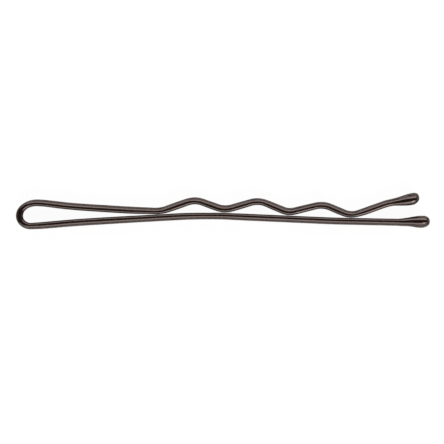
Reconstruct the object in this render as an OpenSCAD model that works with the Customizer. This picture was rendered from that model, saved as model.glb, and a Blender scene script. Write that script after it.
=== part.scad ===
// Bobby pin: one length of flat-backed spring wire, folded at a bow into a
// straight leg and a crimped leg, with a moulded ball tip on each end.
// Millimetres. The pin lies on its side: +X runs along it to the ball tips,
// +Y is towards the crimped leg, +Z is up, and the wide axis of the wire's
// half-round section stands along Z. The wire is drawn as stretches that meet
// at hair-thin gaps, because the real one bends there as the legs spread.

/* [Wire] */
// Width of the wire, across its flat inner face
wire_w = 1.5; // [1.3:0.05:1.6]
// Thickness of the wire with its lacquer, from the flat face to the crown
wire_t = 0.87; // [0.84:0.01:0.9]
// Radius of the wire's rolled long edges
edge_r = 0.34; // [0.3:0.01:0.35]

/* [Bow] */
// Inner radius of the eye
eye_r = 0.9; // [0.85:0.01:0.95]
// Angle round the eye, from +X, where its arc opens into the shoulder
shoulder_at = 128; // [122:1:134]
// Downward slope of the crimped leg where it leaves the bow, in degrees
leave_slope = 7.1; // [6.7:0.1:7.3]

/* [Crimps] */
// Height of the first crest's corner point above the eye's centre
crest_1 = 1.54; // [1.34:0.05:1.64]
// Height of the second crest's corner point
crest_2 = 1.43; // [1.23:0.05:1.58]
// Height of the third crest's corner point
crest_3 = 0.97; // [0.82:0.05:1.12]
// Slit at each flexing place along the legs
slit = 0.03; // [0.02:0.01:0.05]
// Slit at the flexing place on the bow, which bends furthest
bow_slit = 0.05; // [0.04:0.01:0.07]

/* [Ball tips] */
// Greatest thickness of a ball tip, across the pin
ball_t = 1.5; // [1.36:0.02:1.6]
// Greatest width of a ball tip, which is its height as the pin lies
ball_w = 2.0; // [1.8:0.05:2.2]
// Length of the tip on the straight leg
straight_ball_l = 3.9; // [3.6:0.1:4.2]
// Length of the tip on the crimped leg
crimped_ball_l = 3.3; // [3.1:0.1:3.6]

/* [Hidden] */
$fn = 96;

lacquer = [0.16, 0.11, 0.09];
resin = [0.13, 0.09, 0.08];

// ---- Where the flat inner face of the wire runs ----
// All routes are in a frame whose origin is the eye's centre. The straight
// leg's flat face is tangent to the eye's arc, and so is the shoulder.
// Each corner is [x, y, fillet radius].

// Point where the line from p touches the eye's circle on its lower side
function touch(p) = let (d = norm(p), a = atan2(p[1], p[0]) - acos(eye_r / d))
    eye_r * [cos(a), sin(a)];

straight_1 = [5.7, -0.41, 120];
straight_0 = touch([straight_1[0], straight_1[1]]);
straight_start_at = atan2(straight_0[1], straight_0[0]);   // angle round the eye
straight_route = [
    [straight_0[0], straight_0[1], 0],
    straight_1,
    [19.3, 0.36, 60],
    [23.7, 0.365, 15],
    [37.2, -0.225, 100],
    [48.08, -0.44, 0]];

// The shoulder is a wider arc that carries on from the eye's arc, to just past
// the top, and then eases into the leg's slope
shoulder_r = 2.06;
shoulder_c = (eye_r - shoulder_r) * [cos(shoulder_at), sin(shoulder_at)];
top_slope = 1.7;
crimped_0 = shoulder_c + shoulder_r * [cos(90 - top_slope), sin(90 - top_slope)];
ease = [1.5, crimped_0[1] - (1.5 - crimped_0[0]) * tan(top_slope)];
crimped_route = [
    [crimped_0[0], crimped_0[1], 0],
    [ease[0], ease[1], 7],
    [4.9, ease[1] - (4.9 - ease[0]) * tan(leave_slope), 60],
    [12.3, 0.245, 50],
    [16.1, 0.15, 4.7],      // all but touches the straight leg
    [20.2, crest_1, 2.4],   // first crest
    [23.85, 0.225, 3.3],
    [28.0, crest_2, 2.4],   // second crest
    [31.7, -0.07, 2.8],
    [35.9, crest_3, 2.6],   // third crest
    [39.4, -0.445, 3],      // all but touches the straight leg
    [43.95, 1.1, 6.5],      // lead-in lip
    [46.95, 1.66, 0]];

// Places where the wire flexes: by x, each in the middle of a straight run,
// and at the bow where the eye's arc opens into the shoulder. Half the bow's
// slit is this many degrees on the eye's arc.
straight_flex = [16, 30];
crimped_flex = [18.1, 29.8];
// Where the shoulder's stretch ends, and where the lip's stretch starts, each in
// a straight run. The wire doesn't flex there, so the stretches touch.
shoulder_to = 9;
lip_from = 37.65;
slit_at = bow_slit / 2 / (eye_r + wire_t / 2) * 180 / PI;

// ---- The wire's section ----
// Drawn with its flat face along x at y = 0 and its crown at y = wire_t.
// The crown's circle is tangent to the two rolled edges.
edge_x = wire_w / 2 - edge_r;
crown_r = let (h = wire_t - edge_r)
    (edge_x * edge_x + h * h - edge_r * edge_r) / (2 * (h - edge_r));
crown_y = wire_t - crown_r;
// Point where a rolled edge passes into the crown
pass_u = [edge_x, edge_r - crown_y] / norm([edge_x, edge_r - crown_y]);
pass_p = [edge_x, edge_r] + edge_r * pass_u;

module section() {
    union() {
        intersection() {
            translate([0, crown_y]) circle(r = crown_r);
            polygon([[-pass_p[0], pass_p[1]], [-wire_w, wire_t + 1],
                     [wire_w, wire_t + 1], [pass_p[0], pass_p[1]]]);
        }
        polygon([[-edge_x, 0], [edge_x, 0], [edge_x, edge_r], pass_p,
                 [-pass_p[0], pass_p[1]], [-edge_x, edge_r]]);
        for (s = [-1, 1]) translate([s * edge_x, edge_r]) circle(r = edge_r);
    }
}
// The same section as points, for the legs
pass_at = atan2(pass_u[1], pass_u[0]);
section_points = concat(
    [for (i = [0 : 5]) [edge_x, edge_r] + edge_r * ring_dir(-90 + (pass_at + 90) * i / 5)],
    [for (i = [1 : 5]) [0, crown_y] + crown_r * ring_dir(pass_at + (180 - 2 * pass_at) * i / 6)],
    [for (i = [0 : 5]) [-edge_x, edge_r] + edge_r * ring_dir(180 - pass_at + (pass_at + 90) * i / 5)]);
function ring_dir(a) = [cos(a), sin(a)];

// ---- A wire along a route ----
// Side +1 puts the wire's crown to the left of the route, -1 to its right.
function unit(v) = v / norm(v);
function xy(p) = [p[0], p[1]];
function turn(a, b) = atan2(a[0] * b[1] - a[1] * b[0], a * b);
function left_of(u) = [-u[1], u[0]];
// Signed angle turned at corner i of a route, and the length its fillet takes
function turn_at(r, i) = turn(unit(xy(r[i]) - xy(r[i - 1])), unit(xy(r[i + 1]) - xy(r[i])));
function taken(r, i) = r[i][2] * tan(abs(turn_at(r, i)) / 2);
// The point at x on the straight run from corner i to corner i + 1
function on_run(r, i, x) = let (a = xy(r[i]), b = xy(r[i + 1])) a + (b - a) * (x - a[0]) / (b[0] - a[0]);
// The stretch of a route between two flexing places, each given by its x;
// half a slit is left off at an end where the wire flexes
function stretch(r, x0, x1, cut0, cut1) = let (
        inside = [for (i = [1 : len(r) - 2]) if (r[i][0] > x0 && r[i][0] < x1) i],
        i0 = inside[0], i1 = inside[len(inside) - 1],
        a = on_run(r, i0 - 1, x0), b = on_run(r, i1, x1),
        ua = unit(xy(r[i0]) - a), ub = unit(b - xy(r[i1])),
        a2 = a + ua * cut0 * slit / 2, b2 = b - ub * cut1 * slit / 2)
    concat([[a2[0], a2[1], 0]], [for (i = inside) r[i]], [[b2[0], b2[1], 0]]);

// Stations [x, y, direction] round an arc about c at radius r, from a0 to a1
// in degrees, about one every 5 degrees
function arc_stations(c, r, a0, a1) = let (n = max(1, ceil(abs(a1 - a0) / 5)), s = sign(a1 - a0))
    [for (i = [0 : n]) let (a = a0 + (a1 - a0) * i / n)
        [c[0] + r * cos(a), c[1] + r * sin(a), a + 90 * s]];
// Stations along a route with its corners rounded
function corner_stations(r, i) = let (
        t = turn_at(r, i), u = unit(xy(r[i]) - xy(r[i - 1])),
        p = xy(r[i]) - u * taken(r, i), c = p + left_of(u) * sign(t) * r[i][2],
        a0 = atan2(p[1] - c[1], p[0] - c[0]))
    arc_stations(c, r[i][2], a0, a0 + t);
function end_station(p, u) = [p[0], p[1], atan2(u[1], u[0])];
function route_stations(r) = let (n = len(r)) concat(
    [end_station(r[0], xy(r[1]) - xy(r[0]))],
    [for (i = [1 : n - 2]) each corner_stations(r, i)],
    [end_station(r[n - 1], xy(r[n - 1]) - xy(r[n - 2]))]);

// The wire through a list of stations
module wire(st, side) {
    n = len(st);
    m = len(section_points);
    pts = [for (q = st) for (p = section_points)
        [q[0] - side * p[1] * sin(q[2]), q[1] + side * p[1] * cos(q[2]), p[0]]];
    ring = [for (i = [0 : n - 2]) for (j = [0 : m - 1]) let (k = (j + 1) % m)
        [i * m + j, i * m + k, (i + 1) * m + k, (i + 1) * m + j]];
    faces = concat([[for (j = [m - 1 : -1 : 0]) j]], ring, [[for (j = [0 : m - 1]) (n - 1) * m + j]]);
    polyhedron(points = pts, faces = side > 0 ? faces : [for (f = faces) [for (j = [len(f) - 1 : -1 : 0]) f[j]]],
        convexity = 6);
}

module straight_run(a, b, side) {
    d = b - a;
    translate([a[0], a[1], 0]) rotate([0, 0, atan2(d[1], d[0])])
        rotate([-90 * side, 0, 0]) rotate([90, 0, 90])
            linear_extrude(height = norm(d)) section();
}

// ---- Where the pin lies ----
// The origin is under the middle of the whole pin, on the surface it lies on.
straight_cover = 1.0;   // resin past the end of the wire
crimped_cover = 0.85;
straight_full = straight_ball_l - 1.17;   // where each drop is fullest
crimped_full = crimped_ball_l - 0.95;
straight_last = len(straight_route) - 1;
crimped_last = len(crimped_route) - 1;
straight_out = unit(xy(straight_route[straight_last]) - xy(straight_route[straight_last - 1]));
crimped_out = unit(xy(crimped_route[crimped_last]) - xy(crimped_route[crimped_last - 1]));
nose_x = straight_route[straight_last][0] + straight_out[0] * straight_cover;
top_y = crimped_route[crimped_last][1]
    - crimped_out[1] * (crimped_ball_l - crimped_cover - crimped_full)
    + crimped_out[0] * wire_t / 2 + ball_t / 2;
bow_r = eye_r + wire_t;
lie = [(bow_r - nose_x) / 2, (bow_r - top_y) / 2, ball_w / 2];
module place() { translate(lie) children(); }

// ---- Ball tips ----
// A drop of hard resin cast round the wire's end: it swells from the wire to
// its fullest place at s = full, then closes in a blunt nose at s = l.
function swell(s, full, p) = (1 - cos(180 * pow(s / full, p))) / 2;
// The nose is an ellipse at blunt = 2, and squarer above that.
function nose(s, full, l, blunt) = pow(max(0, 1 - pow((s - full) / (l - full), blunt)), 1 / blunt);
function size_at(s, full, l, first, most, p, blunt) = s < full
    ? first + (most - first) * swell(s, full, p)
    : most * nose(s, full, l, blunt);
// Signed power, for a rounded-rectangle ring
function spow(v, e) = sign(v) * pow(abs(v), e);
// Stations run closer together towards the nose
function stations(full, l) = concat(
    [for (i = [0 : 7]) full * i / 8],
    [for (i = [0 : 7]) full + (l - full) * sin(90 * i / 8)]);
sides = 28;
// The drop along +x from the origin, which lies on the wire's flat face;
// lift is how far the drop's middle stands off the wire's own middle
module drop(l, full, p, lift, blunt) {
    st = stations(full, l);
    n = len(st);
    pts = concat(
        [for (i = [0 : n - 1]) let (
                s = st[i],
                k = min(1, s / full),
                hy = size_at(s, full, l, wire_t + 0.05, ball_t, p, blunt) / 2,
                hz = size_at(s, full, l, wire_w + 0.06, ball_w, p, blunt) / 2,
                e = 2 / (3.4 - 1.4 * min(1, s / (0.7 * full))),
                cy = wire_t / 2 + lift * swell(min(s, full), full, p))
            for (j = [0 : sides - 1]) let (a = 360 * j / sides)
                [s, cy + hy * spow(cos(a), e), hz * spow(sin(a), e)]],
        [[l, wire_t / 2 + lift, 0]]);
    faces = concat(
        [[for (j = [0 : sides - 1]) j]],
        [for (i = [0 : n - 2]) for (j = [0 : sides - 1]) let (k = (j + 1) % sides)
            [i * sides + j, (i + 1) * sides + j, (i + 1) * sides + k, i * sides + k]],
        [for (j = [0 : sides - 1]) [(n - 1) * sides + j, n * sides, (n - 1) * sides + (j + 1) % sides]]);
    polyhedron(points = pts, faces = faces, convexity = 4);
}

// A drop on the end of a route: it ends past the wire's end by cover
module tip(r, side, l, full, p, lift, blunt, cover) {
    n = len(r);
    e = xy(r[n - 1]);
    u = unit(e - xy(r[n - 2]));
    a = e - u * (l - cover);
    difference() {
        translate([a[0], a[1], 0]) rotate([0, 0, atan2(u[1], u[0])])
            mirror([0, side > 0 ? 0 : 1, 0]) drop(l, full, p, lift, blunt);
        straight_run(a - u * 0.5, e, side);
    }
}

// ---- The pieces ----
module spring_bow() color(lacquer) place()
    rotate([0, 0, shoulder_at + slit_at])
        rotate_extrude(angle = straight_start_at + 360 - shoulder_at - slit_at)
            translate([eye_r, 0]) rotate(-90) section();
module straight_leg_root() color(lacquer) place()
    wire(route_stations(stretch(straight_route, straight_0[0], straight_flex[0], 0, 1)), -1);
module straight_leg_middle() color(lacquer) place()
    wire(route_stations(stretch(straight_route, straight_flex[0], straight_flex[1], 1, 1)), -1);
module straight_leg_end() color(lacquer) place()
    wire(route_stations(stretch(straight_route, straight_flex[1], straight_route[straight_last][0], 1, 0)), -1);
module crimped_leg_shoulder() color(lacquer) place()
    wire(concat(arc_stations(shoulder_c, shoulder_r, shoulder_at - slit_at * (eye_r + wire_t / 2) / (shoulder_r + wire_t / 2), 90 - top_slope),
        [for (i = [1 : 200]) let (q = route_stations(stretch(crimped_route, crimped_0[0], shoulder_to, 0, 0)))
            if (i < len(q)) q[i]]), 1);
module crimped_leg_root() color(lacquer) place()
    wire(route_stations(stretch(crimped_route, shoulder_to, crimped_flex[0], 0, 1)), 1);
module crimped_leg_middle() color(lacquer) place()
    wire(route_stations(stretch(crimped_route, crimped_flex[0], crimped_flex[1], 1, 1)), 1);
module crimped_leg_end() color(lacquer) place()
    wire(route_stations(stretch(crimped_route, crimped_flex[1], lip_from, 1, 0)), 1);
module crimped_leg_lip() color(lacquer) place()
    wire(route_stations(stretch(crimped_route, lip_from, crimped_route[crimped_last][0], 0, 0)), 1);
module straight_leg_ball_tip() color(resin) place()
    tip(straight_route, -1, straight_ball_l, straight_full, 1.4, -0.1, 2.6, straight_cover);
module crimped_leg_ball_tip() color(resin) place()
    tip(crimped_route, 1, crimped_ball_l, crimped_full, 1.2, 0, 3.4, crimped_cover);

spring_bow();
straight_leg_root();
straight_leg_middle();
straight_leg_end();
crimped_leg_shoulder();
crimped_leg_root();
crimped_leg_middle();
crimped_leg_end();
crimped_leg_lip();
straight_leg_ball_tip();
crimped_leg_ball_tip();
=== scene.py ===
"""The bobby pin's looks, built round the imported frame. Lengths in the tables below are millimetres in the eye's frame."""

import math

import bpy
import numpy as np
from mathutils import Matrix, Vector


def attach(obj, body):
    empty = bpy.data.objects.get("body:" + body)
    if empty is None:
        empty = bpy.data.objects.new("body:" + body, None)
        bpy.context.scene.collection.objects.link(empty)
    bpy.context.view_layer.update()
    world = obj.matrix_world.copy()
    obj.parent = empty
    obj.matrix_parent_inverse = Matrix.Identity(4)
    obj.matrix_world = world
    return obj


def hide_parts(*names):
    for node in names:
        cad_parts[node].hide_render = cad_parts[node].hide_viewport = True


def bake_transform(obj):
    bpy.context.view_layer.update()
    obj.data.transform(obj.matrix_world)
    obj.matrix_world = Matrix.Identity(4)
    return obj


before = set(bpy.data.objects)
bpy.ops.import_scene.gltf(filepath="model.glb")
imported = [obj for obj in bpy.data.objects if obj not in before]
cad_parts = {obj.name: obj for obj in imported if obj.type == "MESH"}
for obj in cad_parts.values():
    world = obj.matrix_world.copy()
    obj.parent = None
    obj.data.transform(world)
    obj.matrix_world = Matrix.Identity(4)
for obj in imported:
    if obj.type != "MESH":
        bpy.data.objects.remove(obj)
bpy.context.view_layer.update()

MM = 0.001

# ---------------------------------------------------------------- sizes
WIRE_T, WIRE_W = 0.87, 1.5
EYE_R, SHOULDER_R, SHOULDER_AT = 0.9, 2.06, 128.0
TOP_SLOPE, LEAVE_SLOPE = 1.7, 7.1
BALL_T, BALL_W = 1.5, 2.0


def unit(v):
    v = np.asarray(v, float)
    return v / np.hypot(v[0], v[1])


def polar(deg):
    a = math.radians(deg)
    return np.array([math.cos(a), math.sin(a)])


def touch(p):
    """Where the line from p touches the eye's circle on its lower side, and the angle there."""
    a = math.degrees(math.atan2(p[1], p[0])) - math.degrees(math.acos(EYE_R / math.hypot(*p)))
    return EYE_R * polar(a), a


STRAIGHT_0, START_AT = touch((5.7, -0.41))
# corners of the straight leg's flat face: x, y, fillet radius
STRAIGHT = [
    (*STRAIGHT_0, 0),
    (5.7, -0.41, 120),
    (19.3, 0.36, 60),
    (23.7, 0.365, 15),
    (37.2, -0.225, 100),
    (48.08, -0.44, 0),
]
SHOULDER_C = (EYE_R - SHOULDER_R) * polar(SHOULDER_AT)
CRIMPED_0 = SHOULDER_C + SHOULDER_R * polar(90 - TOP_SLOPE)
EASE_Y = CRIMPED_0[1] - (1.5 - CRIMPED_0[0]) * math.tan(math.radians(TOP_SLOPE))
CRIMPED = [
    (*CRIMPED_0, 0),
    (1.5, EASE_Y, 7),
    (4.9, EASE_Y - 3.4 * math.tan(math.radians(LEAVE_SLOPE)), 60),
    (12.3, 0.245, 50),
    (16.1, 0.15, 4.7),
    (20.2, 1.54, 2.4),
    (23.85, 0.225, 3.3),
    (28.0, 1.43, 2.4),
    (31.7, -0.07, 2.8),
    (35.9, 0.97, 2.6),
    (39.4, -0.445, 3.0),
    (43.95, 1.1, 6.5),
    (46.95, 1.66, 0),
]


def end_direction(route):
    return unit(np.subtract(route[-1][:2], route[-2][:2]))


STRAIGHT_OUT, CRIMPED_OUT = end_direction(STRAIGHT), end_direction(CRIMPED)
# the solid drops' length, and where each is fullest, as the row frame's origin is worked out from them
STRAIGHT_DROP = dict(length=3.9, full=2.73, cover=1.0)
CRIMPED_DROP = dict(length=3.3, full=2.35, cover=0.85)
# The drops as they look: for the inner and the outer side, how far the drop stands off the wire's middle,
# where it is fullest, how late it swells and how blunt it closes; then the nose's height off the wire's
# middle and the drop's whole length. The real ones sag a little to one side as they set. Oval says how far
# a drop's section turns from the wire's own into an oval, ridge where its ridge lies between the two faces.
STRAIGHT_LOOK = dict(oval=0.4, ridge=0.49, inner=(0.87, 3.13, 0.89, 2.15), outer=(0.631, 2.65, 1.93, 2.36), nose=-0.167, length=3.9)
CRIMPED_LOOK = dict(oval=0.1, ridge=0.46, inner=(0.772, 2.43, 0.784, 1.89), outer=(0.682, 2.42, 1.106, 3.05), nose=-0.031, length=3.36)

_nose_x = STRAIGHT[-1][0] + STRAIGHT_OUT[0] * STRAIGHT_DROP["cover"]
_top_y = (
    CRIMPED[-1][1]
    - CRIMPED_OUT[1] * (CRIMPED_DROP["length"] - CRIMPED_DROP["cover"] - CRIMPED_DROP["full"])
    + CRIMPED_OUT[0] * WIRE_T / 2
    + BALL_T / 2
)
LIE = np.array([(EYE_R + WIRE_T - _nose_x) / 2, (EYE_R + WIRE_T - _top_y) / 2, BALL_W / 2])


def row(x, y, z=0.0):
    """A point of the eye's frame in the row frame, in metres."""
    return ((x + LIE[0]) * MM, (y + LIE[1]) * MM, (z + LIE[2]) * MM)


# ---------------------------------------------------------------- the wire's route
STEP = 0.02


def arc_points(c, r, a0, a1):
    n = max(2, int(abs(math.radians(a1 - a0)) * r / STEP) + 1)
    a = np.radians(np.linspace(a0, a1, n))
    return np.stack([c[0] + r * np.cos(a), c[1] + r * np.sin(a)], 1)


def rounded(corners):
    """Points along a run of corners, each rounded at its radius."""
    out = [np.array([corners[0][:2]], float)]
    for a, b, c in zip(corners, corners[1:], corners[2:]):
        u, v = unit(np.subtract(b[:2], a[:2])), unit(np.subtract(c[:2], b[:2]))
        turn = math.atan2(u[0] * v[1] - u[1] * v[0], float(np.dot(u, v)))
        taken = b[2] * math.tan(abs(turn) / 2)
        p = np.array(b[:2]) - u * taken
        centre = p + np.array([-u[1], u[0]]) * math.copysign(b[2], turn)
        a0 = math.degrees(math.atan2(p[1] - centre[1], p[0] - centre[0]))
        out.append(arc_points(centre, b[2], a0, a0 + math.degrees(turn)))
    out.append(np.array([corners[-1][:2]], float))
    return np.concatenate(out)


def evenly(p, step):
    """The same line with a point at every step."""
    d = np.hypot(*np.diff(p, axis=0).T)
    keep = np.concatenate([[True], d > 1e-7])
    p = p[keep]
    s = np.concatenate([[0], np.cumsum(np.hypot(*np.diff(p, axis=0).T))])
    at = np.linspace(0, s[-1], int(round(s[-1] / step)) + 1)
    return np.stack([np.interp(at, s, p[:, 0]), np.interp(at, s, p[:, 1])], 1)


def eased(p, sigma):
    """The same line with its changes of bend eased, as a drawn wire bends. Its ends stay."""
    n = int(4 * sigma / STEP)
    k = np.exp(-0.5 * (np.arange(-n, n + 1) * STEP / sigma) ** 2)
    k /= k.sum()
    u, v = unit(p[0] - p[1]), unit(p[-1] - p[-2])
    far = np.arange(n, 0, -1)[:, None] * STEP
    padded = np.concatenate([p[0] + u * far, p, p[-1] + v * far[::-1]])
    return np.stack([np.convolve(padded[:, i], k, "valid") for i in (0, 1)], 1)


# from the straight leg's end to the bow, round it, and out to the crimped leg's end, with the crown always on the left
_line = np.concatenate(
    [
        rounded(STRAIGHT)[::-1],
        arc_points((0, 0), EYE_R, START_AT, SHOULDER_AT - 360),
        arc_points(SHOULDER_C, SHOULDER_R, SHOULDER_AT, 90 - TOP_SLOPE),
        rounded(CRIMPED),
    ]
)
ROUTE = eased(evenly(_line, STEP), 0.14)
_d = np.gradient(ROUTE, axis=0)
TANGENT = _d / np.hypot(_d[:, 0], _d[:, 1])[:, None]
ALONG = np.concatenate([[0], np.cumsum(np.hypot(*np.diff(ROUTE, axis=0).T))])
_angle = np.unwrap(np.arctan2(TANGENT[:, 1], TANGENT[:, 0]))
BEND = np.gradient(_angle, ALONG)  # signed curvature, per mm
_k = np.exp(-0.5 * (np.arange(-60, 61) * STEP / 0.3) ** 2)
TIGHT = np.convolve(np.abs(BEND), _k / _k.sum(), "same")
BOW = int(np.argmin(ROUTE[:, 0]))  # the index of the leftmost point


def at_x(x, leg):
    """How far along the route a leg reaches x."""
    half = slice(0, BOW) if leg == "straight" else slice(BOW, None)
    xs, s = ROUTE[half, 0], ALONG[half]
    order = np.argsort(xs)
    return float(np.interp(x, xs[order], s[order]))


def stations(s0, s1):
    """Places along the route, close together where it bends."""
    pace = np.minimum(0.3, math.radians(3.2) / np.maximum(TIGHT, 1e-3))
    steps = np.concatenate([[0], np.cumsum(np.diff(ALONG) / pace[1:])])
    a, b = np.interp([s0, s1], ALONG, steps)
    n = max(2, int(round(b - a)) + 1)
    return np.interp(np.linspace(a, b, n), steps, ALONG)


# ---------------------------------------------------------------- the wire's section
# How round the section is, from its flat face over one long edge to the crown: each span ends at this
# slope of the surface's normal from upright, in degrees, and has this radius, in mm. The drawn wire is
# tightest at the top of its edges. The last radius is worked out, so that the crown is WIRE_T high.
SPANS = [(-90.0, 0.0), (-20.0, 0.345), (20.0, 0.33), (80.0, None)]
CROWN_R = 1.49  # over the middle of the crown


def _profile(n_per=(16, 12, 20)):
    """Half of the section: points (out from the flat face, down from the top of the edge) and the normal's slope."""
    sin = lambda d: math.sin(math.radians(d))
    used = sum(r * (sin(a1) - sin(a0)) for (a0, _), (a1, r) in zip(SPANS, SPANS[1:]) if r)
    used += CROWN_R * (1 - sin(SPANS[-1][0]))
    last = (WIRE_T - used) / (sin(SPANS[-1][0]) - sin(SPANS[-2][0]))
    y, z, pts = 0.0, 0.0, []
    for (a0, _), (a1, r), n in zip(SPANS, SPANS[1:], n_per):
        r = r or last
        for i in range(n):
            a = a0 + (a1 - a0) * i / n
            pts.append((y + r * (sin(a) - sin(a0)), z + r * (math.cos(math.radians(a)) - math.cos(math.radians(a0))), a))
        y += r * (sin(a1) - sin(a0))
        z += r * (math.cos(math.radians(a1)) - math.cos(math.radians(a0)))
    pts.append((y, z, SPANS[-1][0]))
    top = max(q[1] for q in pts)
    return [(q[0], q[1] - top, q[2]) for q in pts]


HALF = _profile()


def section(t, w):
    """The wire's section as closed points (outward from the flat face, along the width), with outward normals."""
    half = [(y * t / WIRE_T, z + w / 2, a) for y, z, a in HALF]
    pts, nrm = [], []

    def add(y, z, a, up):
        pts.append((y, z * up))
        nrm.append((math.sin(math.radians(a)), math.cos(math.radians(a)) * up))

    for z in np.linspace(0, half[0][1], 4)[:-1]:
        add(0, z, -90, 1)
    for y, z, a in half:
        add(y, z, a, 1)
    # over the crown's middle, an arc between the two last points
    y1, z1, a1 = half[-1]
    for k in np.linspace(-1, 1, 9)[1:-1]:
        lift = (t - y1) * (1 - k * k)
        add(y1 + lift, -k * z1, 90 - abs(k) * (90 - a1), 1 if k <= 0 else -1)
        nrm[-1] = (math.cos(math.radians(abs(k) * (90 - a1))), -k * math.sin(math.radians(90 - a1)))
        pts[-1] = (y1 + lift, -k * z1)
    for y, z, a in half[::-1]:
        add(y, z, a, -1)
    for z in np.linspace(half[0][1], 0, 4)[1:-1]:
        add(0, z, -90, -1)
    return np.array(pts), np.array(nrm)


_around = None


def around():
    """Each section point's distance round the section, from the middle of the flat face."""
    global _around
    if _around is None:
        p, _ = section(WIRE_T, WIRE_W)
        _around = np.concatenate([[0], np.cumsum(np.hypot(*np.diff(p, axis=0).T))])
    return _around


def ripple(s, a):
    """The lacquer's slow unevenness, in mm: runs a few millimetres long, thicker here and there."""
    return (
        0.0020 * math.sin(2.1 * s + 0.9 * math.sin(1.3 * a))
        + 0.0014 * math.sin(3.7 * s + 2.2 * a + 1.0)
        + 0.0010 * math.sin(6.1 * s - 1.7 * a + 2.3)
    )


# Where the bent wire's two faces lie off its plain route, as bending and setting left it:
# how far along, then the flat face and the crown, outward, in hundredths of a mm.
UNEVEN = [
    (0, 0, 0), (22, 0, -1), (24, 0, -2.5), (26, 0, -4.5), (27.5, 0, -4), (29.5, -1, -1.5), (33, -1, -2), (37, -2.5, -1.5), (40, -1.5, 0),
    (45, 0, -0.5), (47, 0, -1.5), (48, -1, -8), (48.5, -1.5, -7.5), (48.75, 0.5, -5), (48.95, 3.5, -1), (49.15, 5, 3), (49.4, 5, 4),
    (49.6, 3, 2.5), (49.85, 1.5, 0), (50.1, 2, -2), (50.5, 3.5, -4.5), (51, 2.5, -3.5), (52, 1, -1.5), (54, 0, 0), (58, -1.5, 0),
    (60, -2.5, 0), (63, -2.5, 0), (65, -1, -3), (66.2, 0, -6), (67.2, -1, -5), (68.2, -6, -3), (69.3, -5.5, -0.5), (71, -1.5, -0.5),
    (72.2, -0.5, 0), (73.6, -3, 1.5), (75.2, -1, 1.5), (77, -2, 1), (78.6, 0.5, 0), (79.9, 2.5, 0), (81.2, -1, 1.5), (83, -3.5, 1.5),
    (85, -2, 1.2), (87.3, 0, -2), (88.3, 0.5, 0), (89.4, -4, -2), (90.6, -3, -4.5), (91.5, 0, -6), (92.3, -1, -5), (93.2, -6.5, -4.5),
    (94.2, -4.5, -2), (96, -1, 0), (100, 0, 0),
]
_u = np.array(UNEVEN, float)
_w = np.exp(-0.5 * (np.arange(-40, 41) * STEP / 0.22) ** 2)
UNEVEN_IN, UNEVEN_OUT = (
    np.convolve(np.pad(np.interp(ALONG, _u[:, 0], _u[:, i]) / 100, 40, "edge"), _w / _w.sum(), "valid") for i in (1, 2)
)


def wire_ring(s):
    """The wire's outline at s along the route: points and outward normals in the eye's frame, 3-D."""
    x, y = np.interp(s, ALONG, ROUTE[:, 0]), np.interp(s, ALONG, ROUTE[:, 1])
    t = unit((np.interp(s, ALONG, TANGENT[:, 0]), np.interp(s, ALONG, TANGENT[:, 1])))
    n = np.array([-t[1], t[0]])
    tight = float(np.interp(s, ALONG, TIGHT))
    wide = WIRE_W + 0.03 * min(1.2, tight)  # spread a little by a tight bend
    p, q = section(WIRE_T, wide)
    flat, crown = float(np.interp(s, ALONG, UNEVEN_IN)), float(np.interp(s, ALONG, UNEVEN_OUT))
    out, nor = [], []
    for (py, pz), (ny, nz), a in zip(p, q, around()):
        d = ripple(s, a) - 0.0035
        py = py + flat + (crown - flat) * py / WIRE_T
        py, pz = py + ny * d, pz + nz * d
        out.append((x + n[0] * py, y + n[1] * py, pz))
        nor.append((n[0] * ny, n[1] * ny, nz))
    return out, nor


# ---------------------------------------------------------------- meshes
def mesh_object(name, verts, faces, smooth=True, sharp_caps=()):
    me = bpy.data.meshes.new(name)
    me.from_pydata([row(*v) for v in verts], [], faces)
    me.validate()
    me.update()
    if smooth:
        me.polygons.foreach_set("use_smooth", [True] * len(me.polygons))
    for i in sharp_caps:
        me.polygons[i].use_smooth = False
    ob = bpy.data.objects.new(name, me)
    bpy.context.scene.collection.objects.link(ob)
    return ob


def route_attribute(ob, values):
    """Where each point lies along and round the wire, in mm, for the materials."""
    at = ob.data.attributes.new("route", "FLOAT_VECTOR", "POINT")
    at.data.foreach_set("vector", np.asarray(values, np.float32).ravel())


def sharpen(ob, loops):
    """Marks the edges round each of these closed rows of vertices as sharp."""
    pairs = {frozenset((r[i], r[(i + 1) % len(r)])) for r in loops for i in range(len(r))}
    flags = [frozenset(e.vertices) in pairs for e in ob.data.edges]
    at = ob.data.attributes.get("sharp_edge") or ob.data.attributes.new("sharp_edge", "BOOLEAN", "EDGE")
    at.data.foreach_set("value", flags)


def wire(name, s0, s1):
    """A length of the wire as one closed mesh."""
    ss = stations(s0, s1)
    verts, where, m = [], [], len(around())
    for s in ss:
        ring, _ = wire_ring(float(s))
        verts += ring
        where += [(s, a, 0) for a in around()]
    faces = []
    for i in range(len(ss) - 1):
        for j in range(m):
            k = (j + 1) % m
            faces.append((i * m + j, (i + 1) * m + j, (i + 1) * m + k, i * m + k))
    n = len(faces)
    last = (len(ss) - 1) * m
    faces += [tuple(range(m)), tuple(last + j for j in range(m - 1, -1, -1))]
    ob = mesh_object(name, verts, faces, sharp_caps=(n, n + 1))
    route_attribute(ob, where)
    sharpen(ob, [list(range(m)), [last + j for j in range(m)]])
    return ob


S_END = float(ALONG[-1])
cut_a = at_x(1.5, "straight")
cut_b = at_x(8.0, "crimped")
cut_c = at_x(22.0, "crimped")
cut_d = at_x(23.0, "straight")

bow = wire("bow_and_crimped_root", cut_a, cut_b)
crimped_mid = wire("crimped_leg_first_crest", cut_b, cut_c)
crimped_end = wire("crimped_leg_outer_crests", cut_c, S_END)
straight_mid = wire("straight_leg_inner_half", cut_d, cut_a)
straight_end = wire("straight_leg_outer_half", 0.0, cut_d)


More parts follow.
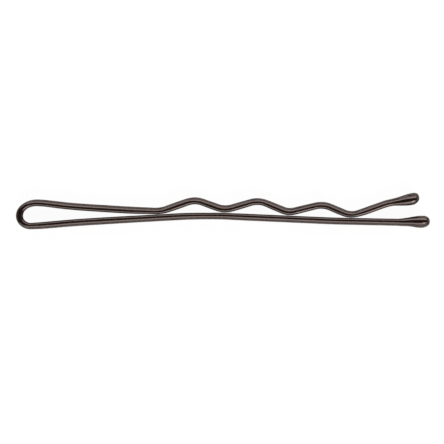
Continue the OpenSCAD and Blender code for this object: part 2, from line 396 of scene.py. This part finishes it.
# ---------------------------------------------------------------- ball tips
def face_at(s, look, side, first):
    """How far one side of a drop stands off the wire's middle at s, from the wire's own at the start to the nose."""
    high, full, late, blunt = look[side]
    nose = look["nose"] * (-1 if side == "inner" else 1)
    if s < full:
        return first + (high - first) * (1 - math.cos(math.pi * (s / full) ** late)) / 2
    u = min(1.0, (s - full) / (look["length"] - full))
    return nose + (high - nose) * (1 - u**blunt) ** (1 / blunt)


def reach_of(points, angle):
    """How far the wire's outline lies from its middle in a direction."""
    d = np.array([math.cos(angle), math.sin(angle)])
    best = 0.0
    for (y0, z0), (y1, z1) in zip(points, np.roll(points, -1, axis=0)):
        a, b = np.array([y0 - WIRE_T / 2, z0]), np.array([y1 - WIRE_T / 2, z1])
        e = b - a
        det = d[0] * -e[1] + e[0] * d[1]
        if abs(det) < 1e-12:
            continue
        r = (a[0] * -e[1] + e[0] * a[1]) / det
        u = (d[0] * a[1] - d[1] * a[0]) / det
        if r > 0 and -1e-9 <= u <= 1 + 1e-9:
            best = max(best, r)
    return best


RIDGE = 0.34 - WIRE_T / 2


def drop(name, route, out, side, look, cover, base_length, sides=80):
    """A drop of resin on the wire's end. It leaves the wire as a thin skin and swells to an oval bead, fuller on one side."""
    end = np.array(route[-1][:2])
    base = end - out * (base_length - cover)
    normal = np.array([-out[1], out[0]]) * side
    p, _ = section(WIRE_T, WIRE_W)
    angles = [2 * math.pi * j / sides for j in range(sides)]
    reach = [reach_of(p, a) for a in angles]
    length = look["length"]
    full = (look["inner"][1] + look["outer"][1]) / 2
    ss = [full * i / 36 for i in range(36)]
    ss += [full + (length - full) * math.sin(math.pi / 2 * i / 34) for i in range(34)]
    verts, where, rings = [], [], 0
    for s in ss:
        inner, outer = face_at(s, look, "inner", WIRE_T / 2), face_at(s, look, "outer", WIRE_T / 2)
        cy, hy = WIRE_T / 2 + (outer - inner) / 2, (outer + inner) / 2
        if s < full:
            hz = (WIRE_W + (BALL_W - WIRE_W) * (1 - math.cos(math.pi * (s / full) ** 1.25)) / 2) / 2
        else:
            u = (s - full) / (length - full)
            hz = BALL_W / 2 * (1 - u**2.6) ** (1 / 2.6)
        k = min(1.0, s / (0.75 * full))
        k = k * k * (3 - 2 * k)
        mix = look["oval"] * k**3
        skin = 0.006 + 0.02 * min(1.0, s / 0.5)
        ridge = RIDGE * (1 - k) + (look["ridge"] * (inner + outer) - inner) * k
        for a, r in zip(angles, reach):
            ey, ez = hy * math.cos(a), hz * math.sin(a)
            # the wire's own outline: its flanks are drawn out to this ring's faces, its ridge stays as sharp as it was
            d = math.cos(a) * (r + skin) - RIDGE
            way = 1 if d >= 0 else -1
            limit = WIRE_T / 2 + skin - way * RIDGE
            goal = (outer if d >= 0 else inner) + skin * (1 - k) - way * ridge
            u = abs(d) / limit
            wy = ridge + way * (goal * u if goal < limit else limit * u + (goal - limit) * u * u)
            wz = math.sin(a) * (r + skin) * hz / (WIRE_W / 2 + skin * k)
            y, z = (WIRE_T / 2 + wy) * (1 - mix) + (cy + ey) * mix, wz * (1 - mix) + ez * mix
            v = base + out * s + normal * y
            verts.append((v[0], v[1], z))
            where.append((s, a * 0.8, 1))
        rings += 1
    faces = []
    m = sides
    for i in range(rings - 1):
        for j in range(m):
            k = (j + 1) % m
            f = (i * m + j, (i + 1) * m + j, (i + 1) * m + k, i * m + k)
            faces.append(f if side < 0 else f[::-1])
    tip = base + out * length + normal * (WIRE_T / 2 + look["nose"])
    verts.append((tip[0], tip[1], 0.0))
    where.append((length, 0, 1))
    n = len(verts) - 1
    for j in range(m):
        f = ((rings - 1) * m + j, n, (rings - 1) * m + (j + 1) % m)
        faces.append(f if side < 0 else f[::-1])
    cap = tuple(range(m))
    faces.append(cap if side < 0 else cap[::-1])
    ob = mesh_object(name, verts, faces, sharp_caps=(len(faces) - 1,))
    route_attribute(ob, where)
    sharpen(ob, [list(range(m))])
    return ob


tip_straight = drop("straight_leg_drop", STRAIGHT, STRAIGHT_OUT, -1, STRAIGHT_LOOK, STRAIGHT_DROP["cover"], STRAIGHT_DROP["length"])
tip_crimped = drop("crimped_leg_drop", CRIMPED, CRIMPED_OUT, 1, CRIMPED_LOOK, CRIMPED_DROP["cover"], CRIMPED_DROP["length"])


# ---------------------------------------------------------------- materials
def nodes_of(name):
    mat = bpy.data.materials.new(name)
    mat.use_nodes = True
    nt = mat.node_tree
    nt.nodes.clear()
    out = nt.nodes.new("ShaderNodeOutputMaterial")
    return mat, nt, out


def noise(nt, vector, scale, detail=3.0, rough=0.5, distortion=0.0):
    n = nt.nodes.new("ShaderNodeTexNoise")
    n.inputs["Scale"].default_value = scale
    n.inputs["Detail"].default_value = detail
    n.inputs["Roughness"].default_value = rough
    n.inputs["Distortion"].default_value = distortion
    nt.links.new(vector, n.inputs["Vector"])
    return n.outputs["Fac"]


def spread(nt, value, a, b, c, d):
    """value mapped from a..b to c..d, clamped."""
    m = nt.nodes.new("ShaderNodeMapRange")
    for i, v in enumerate((a, b, c, d)):
        m.inputs[1 + i].default_value = v
    nt.links.new(value, m.inputs[0])
    return m.outputs[0]


def maths(nt, op, x, y):
    m = nt.nodes.new("ShaderNodeMath")
    m.operation = op
    for i, v in enumerate((x, y)):
        if hasattr(v, "is_linked"):
            nt.links.new(v, m.inputs[i])
        else:
            m.inputs[i].default_value = v
    return m.outputs[0]


def blend_colour(nt, fac, a, b):
    m = nt.nodes.new("ShaderNodeMix")
    m.data_type = "RGBA"
    for i, v in ((6, a), (7, b)):
        if hasattr(v, "is_linked"):
            nt.links.new(v, m.inputs[i])
        else:
            m.inputs[i].default_value = (*v, 1)
    nt.links.new(fac, m.inputs[0])
    return m.outputs[2]


def lacquer(name, dark, light, rough_lo, rough_hi, tint, drawn=1.0, peel=1.0):
    """Dark brown gloss lacquer: faint clouds of tone, a fine orange peel, and the wire's drawn lines just showing through."""
    mat, nt, out = nodes_of(name)
    coord = nt.nodes.new("ShaderNodeTexCoord")
    inmm = nt.nodes.new("ShaderNodeVectorMath")
    inmm.operation = "SCALE"
    inmm.inputs["Scale"].default_value = 1000.0
    nt.links.new(coord.outputs["Object"], inmm.inputs[0])
    p = inmm.outputs[0]
    route = nt.nodes.new("ShaderNodeAttribute")
    route.attribute_name = "route"
    lines = nt.nodes.new("ShaderNodeVectorMath")
    lines.operation = "MULTIPLY"
    lines.inputs[1].default_value = (0.35, 14.0, 1.0)
    nt.links.new(route.outputs["Vector"], lines.inputs[0])

    clouds = noise(nt, p, 0.45, 4.0, 0.55)
    mottle = noise(nt, p, 2.3, 3.0, 0.5)
    peel_n = noise(nt, p, 5.5, 2.0, 0.45)
    specks = noise(nt, p, 9.0, 1.0, 0.5)
    drawn_n = noise(nt, lines.outputs[0], 1.0, 2.0, 0.6)

    tone = maths(nt, "ADD", maths(nt, "MULTIPLY", clouds, 0.6), maths(nt, "MULTIPLY", mottle, 0.4))
    colour = blend_colour(nt, spread(nt, tone, 0.36, 0.64, 0, 1), dark, light)
    pit = spread(nt, specks, 0.68, 0.82, 0, 1)
    colour = blend_colour(nt, pit, colour, tuple(c * 1.9 for c in light))

    rough = maths(nt, "ADD", spread(nt, mottle, 0.3, 0.7, rough_lo, rough_hi), maths(nt, "MULTIPLY", spread(nt, drawn_n, 0.4, 0.7, 0, 1), 0.05 * drawn))
    rough = maths(nt, "ADD", rough, maths(nt, "MULTIPLY", pit, 0.12))

    height = maths(nt, "ADD", maths(nt, "MULTIPLY", peel_n, 0.45 * peel), maths(nt, "MULTIPLY", drawn_n, 0.35 * drawn))
    height = maths(nt, "ADD", height, maths(nt, "MULTIPLY", pit, 0.4))
    bump = nt.nodes.new("ShaderNodeBump")
    bump.inputs["Strength"].default_value = 0.35
    bump.inputs["Distance"].default_value = 0.000012
    nt.links.new(height, bump.inputs["Height"])

    b = nt.nodes.new("ShaderNodeBsdfPrincipled")
    b.inputs["IOR"].default_value = 1.5
    b.inputs["Specular Tint"].default_value = (*tint, 1)
    nt.links.new(colour, b.inputs["Base Color"])
    nt.links.new(rough, b.inputs["Roughness"])
    nt.links.new(bump.outputs["Normal"], b.inputs["Normal"])
    nt.links.new(b.outputs[0], out.inputs["Surface"])
    return mat


wire_mat = lacquer("lacquered_wire", (0.0105, 0.0062, 0.0048), (0.0155, 0.0096, 0.0074), 0.05, 0.085, (1.0, 0.825, 0.785))
resin_mat = lacquer("tip_resin", (0.0095, 0.0056, 0.0043), (0.0135, 0.0084, 0.0065), 0.05, 0.08, (1.0, 0.83, 0.79), drawn=0.0, peel=0.3)
for ob in (bow, crimped_mid, crimped_end, straight_mid, straight_end):
    ob.data.materials.append(wire_mat)
for ob in (tip_straight, tip_crimped):
    ob.data.materials.append(resin_mat)
for name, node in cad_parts.items():  # hidden below, but never left plain
    node.data.materials.clear()
    node.data.materials.append(resin_mat if name.endswith("ball_tip") else wire_mat)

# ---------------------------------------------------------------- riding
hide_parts("spring_bow", "crimped_leg_shoulder", "crimped_leg_root")
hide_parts("crimped_leg_middle")
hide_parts("crimped_leg_end", "crimped_leg_lip")
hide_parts("straight_leg_root", "straight_leg_middle")
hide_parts("straight_leg_end")
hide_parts("straight_leg_ball_tip")
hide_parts("crimped_leg_ball_tip")
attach(tip_straight, "straight_end")
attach(tip_crimped, "crimped_end")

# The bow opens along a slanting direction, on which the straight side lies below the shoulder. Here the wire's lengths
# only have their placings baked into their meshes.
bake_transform(bow)
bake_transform(crimped_mid)
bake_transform(crimped_end)
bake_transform(straight_mid)
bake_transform(straight_end)


# ---------------------------------------------------------------- studio
def floor_material():
    """White acrylic, evenly lit from below where it is seen directly. In the lacquer it shows as the softboxes light it."""
    mat, nt, out = nodes_of("pale_floor")
    seen = nt.nodes.new("ShaderNodeBsdfPrincipled")
    seen.inputs["Base Color"].default_value = (0.06, 0.06, 0.06, 1)
    seen.inputs["Roughness"].default_value = 1.0
    seen.inputs["Specular IOR Level"].default_value = 0.0
    seen.inputs["Emission Color"].default_value = (1, 1, 1, 1)
    seen.inputs["Emission Strength"].default_value = 0.955
    lit = nt.nodes.new("ShaderNodeBsdfPrincipled")
    lit.inputs["Base Color"].default_value = (0.6, 0.555, 0.535, 1)
    lit.inputs["Roughness"].default_value = 0.15
    lit.inputs["IOR"].default_value = 1.8
    path = nt.nodes.new("ShaderNodeLightPath")
    mix = nt.nodes.new("ShaderNodeMixShader")
    nt.links.new(path.outputs["Is Camera Ray"], mix.inputs[0])
    nt.links.new(lit.outputs[0], mix.inputs[1])
    nt.links.new(seen.outputs[0], mix.inputs[2])
    nt.links.new(mix.outputs[0], out.inputs["Surface"])
    return mat


floor_me = bpy.data.meshes.new("floor")
R = 6.0
floor_me.from_pydata([(-R, -R, 0), (R, -R, 0), (R, R, 0), (-R, R, 0)], [], [(0, 1, 2, 3)])
floor = bpy.data.objects.new("floor", floor_me)
floor_me.materials.append(floor_material())
bpy.context.scene.collection.objects.link(floor)


def softbox(name, azimuth, polar_angle, half_wide, half_high, radiance, distance=0.5):
    """A soft oval panel. Its middle is seen from the pin at an azimuth from +X and an angle from straight up, and it reaches so far each way, all in degrees."""
    light = bpy.data.lights.new(name, "AREA")
    light.shape = "ELLIPSE"
    light.size = 2 * distance * math.tan(math.radians(half_wide))
    light.size_y = 2 * distance * math.tan(math.radians(half_high))
    light.energy = radiance * math.pi * light.size * light.size_y * math.pi / 4
    light.color = (1, 0.955, 0.94)
    ob = bpy.data.objects.new(name, light)
    a, t = math.radians(azimuth), math.radians(polar_angle)
    d = Vector((math.sin(t) * math.cos(a), math.sin(t) * math.sin(a), math.cos(t)))
    ob.location = d * distance
    ob.rotation_euler = d.to_track_quat("Z", "Y").to_euler()
    ob.visible_camera = False
    bpy.context.scene.collection.objects.link(ob)
    return ob


# On each side a soft panel, brighter in its middle and somewhat towards the tips' end, and a dim low strip past the bow
for side, name in ((1, "far"), (-1, "near")):
    softbox(f"softbox_{name}", side * 77, 60.5, 42, 19, 2.1)
    softbox(f"softbox_{name}_middle", side * 77, 53, 36, 11.5, 3.4, 0.49)
    softbox(f"strip_{name}", side * 124, 83, 23, 9, 2.9, 0.52)
    softbox(f"low_{name}", side * 70, 84.5, 30, 5, 1.9, 0.54)
softbox("strip_bow", 180, 86.5, 34, 3.5, 1.1, 0.56)
softbox("strip_tips", 0, 82, 34, 7.5, 1.7, 0.58)
softbox("softbox_near_hot_spot", -63, 48, 10, 9, 7.0, 0.48)

world = bpy.data.worlds.new("studio")
bpy.context.scene.world = world
world.use_nodes = True
bg = world.node_tree.nodes["Background"]
bg.inputs[0].default_value = (1, 1, 1, 1)
bg.inputs[1].default_value = 0.002

# ---------------------------------------------------------------- camera
cam_data = bpy.data.cameras.new("camera")
cam = bpy.data.objects.new("camera", cam_data)
bpy.context.scene.collection.objects.link(cam)
cam_data.sensor_width = 36
cam_data.lens = 250
WIDE = 54.545 * MM  # what the picture takes in at the pin's middle height
cam.location = row(23.5404, -0.7813, WIDE / MM * cam_data.lens / cam_data.sensor_width)
cam.rotation_euler = (0, 0, 0)
cam_data.clip_start, cam_data.clip_end = 0.001, 20
bpy.context.scene.camera = cam
bpy.context.scene.view_settings.view_transform = "Standard"
